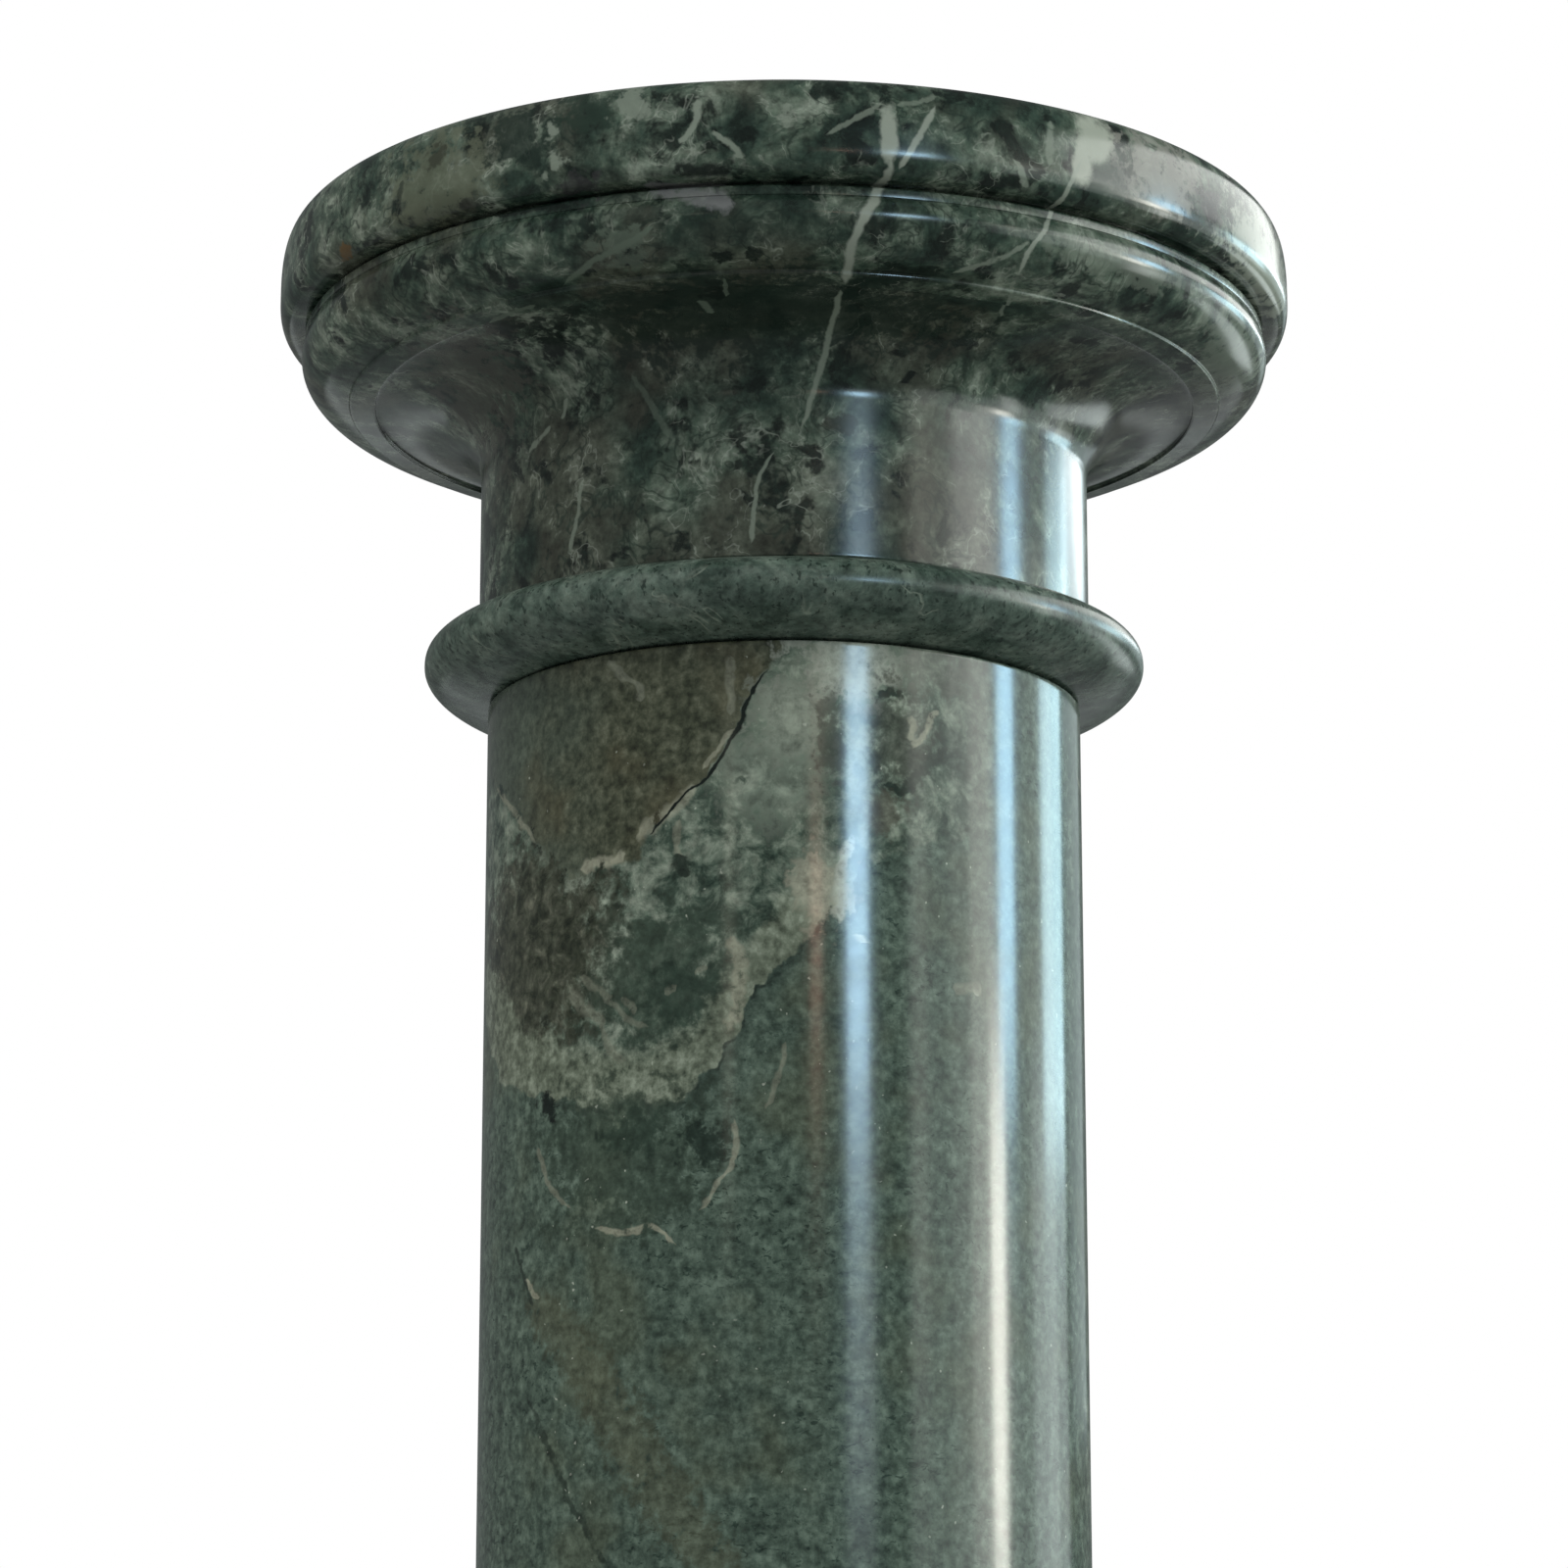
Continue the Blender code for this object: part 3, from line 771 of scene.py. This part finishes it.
# Two white wedges in the plate's rim, where the main veins end
capital_colour = patched(capital_colour, capital_vein_spot, capital_ragged * 0.3, [
    ((26.5, 151), (2.2, 8), WHITE_VEIN, 0.9),
    ((84.5, 158), (6.0, 6), WHITE_WEDGE, 0.9),
    ((81, 151), (3.4, 6), WHITE_WEDGE, 0.9),
])
capital_uneven = (capital_grit - 0.5) * 2.2
capital_breaks = fade(capital_crumb, 0.28, 0.40)
capital_colour = veined(capital_colour, capital_vein_spot, capital_uneven, capital_breaks, [
    ([(-30.9, 141), (-20, 140), (-11.2, 138.5)], 2.4, BLACK_GREEN, 0.9),
    ([(-39.8, 136.2), (-24.7, 131), (-9.4, 127.5)], 2.0, GREY_VEIN, 0.7),
    ([(-53, 130.2), (-68, 132.5), (-82, 132.6)], 1.0, BLACK_GREEN, 0.8),
    ([(-109.5, 155), (-113, 141.7)], 0.9, BLACK_GREEN, 0.6),
    ([(68, 126.1), (55.7, 114.4), (40.8, 104.1)], 0.7, PALE_GREEN, 0.8),
    ([(56.3, 150), (62.6, 145.6), (63.7, 139)], 0.7, PALE_GREEN, 0.7),
    ([(71.3, 162), (70.7, 147)], 0.9, PALE_GREEN, 0.7),
    ([(8.4, 149.2), (16.6, 154), (27.5, 161)], 0.5, PALE_GREEN, 0.6),
    ([(26.7, 158.4), (40.4, 162)], 0.5, PALE_GREEN, 0.5),
    ([(1, 160), (1, 151)], 1.2, PALE_GREEN, 0.7),
    ([(-22.7, 162), (-21.9, 157.4), (-25.1, 150), (-27.6, 146.7)], 0.8, PALE_GREEN, 0.9),
    ([(-18.6, 153), (-14.3, 148.7), (-9.4, 143)], 0.7, PALE_GREEN, 0.8),
    ([(-29.5, 129), (-38.8, 119), (-44.1, 116), (-54.6, 108.5), (-62, 97)], 0.9, SAGE_GREEN, 0.9),
    ([(-66, 96.6), (-79.3, 94.7), (-87.1, 92.6)], 0.8, SAGE_GREEN, 0.8),
    ([(-62.9, 52), (-65.5, 43.8)], 0.6, PALE_GREEN, 0.7),
    ([(-68.3, 44.4), (-81.6, 37.8)], 0.7, PALE_GREEN, 0.7),
    ([(-57, 29.6), (-59.3, 17.6), (-63.1, 4)], 0.6, PALE_GREEN, 0.6),
    ([(-43, 57), (-36, 43), (-27, 30)], 0.7, SAGE_GREEN, 0.5),
    ([(-84.6, 121.6), (-80, 116), (-77.5, 107.6)], 1.2, BLACK_GREEN, 0.8),
    ([(-15, 101), (-15.2, 83)], 0.5, SAGE_GREEN, 0.8),
    ([(-22.3, 85.5), (-18.1, 75)], 0.8, SAGE_GREEN, 0.9),
    ([(31.5, 48.4), (35, 55)], 1.0, BLACK_GREEN, 0.95),
    ([(122.5, 128), (122.3, 118.6)], 0.9, BLACK_GREEN, 0.8),
])
# The main white veins, which nothing breaks
capital_colour = veined(capital_colour, capital_vein_spot, capital_uneven * 0.4, 1.0, [
    ([(40.2, 162), (32.2, 147), (28, 139)], 0.7, WHITE_VEIN, 0.8),
    ([(27, 152), (26.6, 140), (23.8, 131.6), (20.9, 125.8), (17.2, 114.3), (16.4, 103), (15.6, 88)], 1.05,
     WHITE_VEIN, 0.85),
    ([(16, 98), (13, 73.5), (8.7, 47.4), (5.4, 37.2), (1.0, 26)], 0.7, PALE_GREEN, 0.85),
    ([(2.4, 32), (-5.6, 23), (-7.1, 16), (-8.9, 0)], 0.5, PALE_GREEN, 0.7),
    ([(84, 158), (74.6, 138.6), (70, 128), (64.2, 116.4), (62, 104)], 0.6, WHITE_VEIN, 0.8),
    ([(62.8, 110), (60.6, 98.8), (59.4, 82)], 0.5, PALE_GREEN, 0.7),
])
polished(capital_shader, capital_place, capital_colour, CAPITAL_DULLNESS)
stone_object("capital_stone", turned("capital_stone", capital_profile, capital_bed), capital_material,
             "capital")


# Floor, light and camera
# A pale floor in a bright hall. Tall windows and a lit wall to the right give the polish its upright streaks,
# a low wall lights the undersides, and a soft sky lights the left. The camera looks up at the capital.

FLOOR_WIDTH = 8.0
FLOOR_GREY = (0.80, 0.80, 0.79)
FLOOR_ROUGHNESS = 0.6
HALL_LIGHT = (0.38, 0.40, 0.39)
HALL_IN_THE_POLISH = (0.13, 0.14, 0.14)
BACKDROP_WHITE = (1.0, 1.0, 1.0)
LIGHT_BOUNCES = 3
HALL_DISTANCE = 12.0
LIT_HEIGHT = 0.88
CAMERA_DISTANCE = 1.303
CAMERA_BELOW_SHAFT_TOP = 0.3267
CAMERA_LENS = 112.5
CAMERA_SENSOR = 36.0
CAMERA_PITCH = 0.2318

floor_mesh = bpy.data.meshes.new("floor")
edge = FLOOR_WIDTH / 2
floor_mesh.from_pydata([(-edge, -edge, 0), (edge, -edge, 0), (edge, edge, 0), (-edge, edge, 0)], [],
                       [(0, 1, 2, 3)])
floor_material = bpy.data.materials.new("Pale floor")
floor_material.use_nodes = True
floor_shader = floor_material.node_tree.nodes["Principled BSDF"]
floor_shader.inputs["Base Color"].default_value = (*FLOOR_GREY, 1.0)
floor_shader.inputs["Roughness"].default_value = FLOOR_ROUGHNESS
floor_mesh.materials.append(floor_material)
floor = bpy.data.objects.new("floor", floor_mesh)
# Panels below the floor stand for what it throws up, so it neither hides them nor adds to them
floor.visible_diffuse = False
floor.visible_glossy = False
floor.visible_shadow = False
bpy.context.scene.collection.objects.link(floor)


def lamp(name, azimuth, elevation, width, height, radiance, colour=(1.0, 1.0, 1.0), mirrored=True):
    """A glowing panel around the column, facing it. Angles and sizes are in degrees, seen from the column."""
    turn, rise = math.radians(azimuth), math.radians(elevation)
    light = bpy.data.lights.new(name, "AREA")
    light.shape = "RECTANGLE"
    light.size = 2 * HALL_DISTANCE * math.tan(math.radians(width / 2))
    light.size_y = 2 * HALL_DISTANCE * math.tan(math.radians(height / 2))
    light.energy = radiance * math.pi * light.size * light.size_y
    light.color = colour
    panel = bpy.data.objects.new(name, light)
    panel.location = (HALL_DISTANCE * math.sin(turn) * math.cos(rise),
                      -HALL_DISTANCE * math.cos(turn) * math.cos(rise),
                      LIT_HEIGHT + HALL_DISTANCE * math.sin(rise))
    panel.rotation_euler = (math.pi / 2 - rise, 0.0, turn)
    panel.visible_camera = False
    panel.visible_glossy = mirrored
    bpy.context.scene.collection.objects.link(panel)


lamp("Near window", 27.5, 11.9, 8, 5.2, 26, (0.50, 0.78, 1.0))
lamp("Near window foot", 28.5, 6.3, 10, 6, 2.2, (0.85, 0.95, 1.0))
lamp("Near window head", 28.5, 16.8, 7, 3, 4, (0.8, 0.93, 1.0))
lamp("Side window", 93.5, 14, 8.5, 9, 15, (0.45, 0.77, 1.0))
lamp("Side window foot", 87.5, 6, 7, 7.5, 16, (1.0, 0.98, 0.88))
lamp("Side window floor", 91, -9, 8, 18, 4.5, (0.95, 1.0, 0.95))
lamp("Far window", 124.5, 13, 17, 9, 6.0, (0.60, 0.90, 1.0))
lamp("Far window foot", 120, 6, 26, 8, 1.5, (0.90, 1.0, 1.0))
lamp("Far window head", 142, 17, 26, 3, 4, (0.8, 0.95, 1.0))
lamp("Doorway", 12, 11.2, 4, 1.9, 8, (1.0, 0.60, 0.45))
lamp("Left pillar", -20.5, 11, 3.5, 5, 1.5, (1.0, 0.95, 0.75))
lamp("Right pillar", 52, 12, 6, 14, 1.1, (1.0, 1.0, 0.85))
lamp("Lit pillar", 80, 11, 11, 17, 2.5, (1.0, 0.99, 0.90))
lamp("Pillar glow", 78, 9, 24, 16, 0.7, (1.0, 1.0, 0.92))
lamp("Right wall", 86, 4, 76, 30, 1.3, (0.90, 1.0, 0.96))
lamp("High wall", 108, 28, 80, 16, 3.0, (0.98, 1.0, 0.97))
lamp("High gallery", 60, 17.5, 28, 4, 1.6, (1.0, 0.97, 0.86))
lamp("Far wall", 148, 11, 22, 12, 0.60, (0.82, 0.98, 1.0))
lamp("Low wall", 131, -14, 38, 12, 2.4, (0.90, 1.0, 0.98))
lamp("Floor behind", 180, -13, 44, 6, 0.6, (0.92, 1.0, 1.0))
lamp("Left glow", -95, -46, 60, 40, 0.55, mirrored=False)
lamp("Soft sky", -45, 42, 70, 50, 2.0, mirrored=False)

world = bpy.data.worlds.new("Bright hall")
world.use_nodes = True
bpy.context.scene.world = world
background = world.node_tree.nodes["Background"]
light_path = world.node_tree.nodes.new("ShaderNodeLightPath")
ambient = tint(HALL_LIGHT, HALL_IN_THE_POLISH, Tone(light_path.outputs["Is Glossy Ray"]))
ambient = tint(ambient, BACKDROP_WHITE, Tone(light_path.outputs["Is Camera Ray"]))
world.node_tree.links.new(ambient.socket, background.inputs["Color"])

camera_data = bpy.data.cameras.new("Camera")
camera_data.sensor_width = CAMERA_SENSOR
camera_data.lens = CAMERA_LENS
camera = bpy.data.objects.new("Camera", camera_data)
camera.location = (0.0, -CAMERA_DISTANCE, shaft_bed + shaft_length - CAMERA_BELOW_SHAFT_TOP)
camera.rotation_euler = (math.pi / 2 + CAMERA_PITCH, 0.0, 0.0)
bpy.context.scene.collection.objects.link(camera)
bpy.context.scene.camera = camera
bpy.context.scene.cycles.max_bounces = LIGHT_BOUNCES
bpy.context.scene.view_settings.view_transform = "Standard"
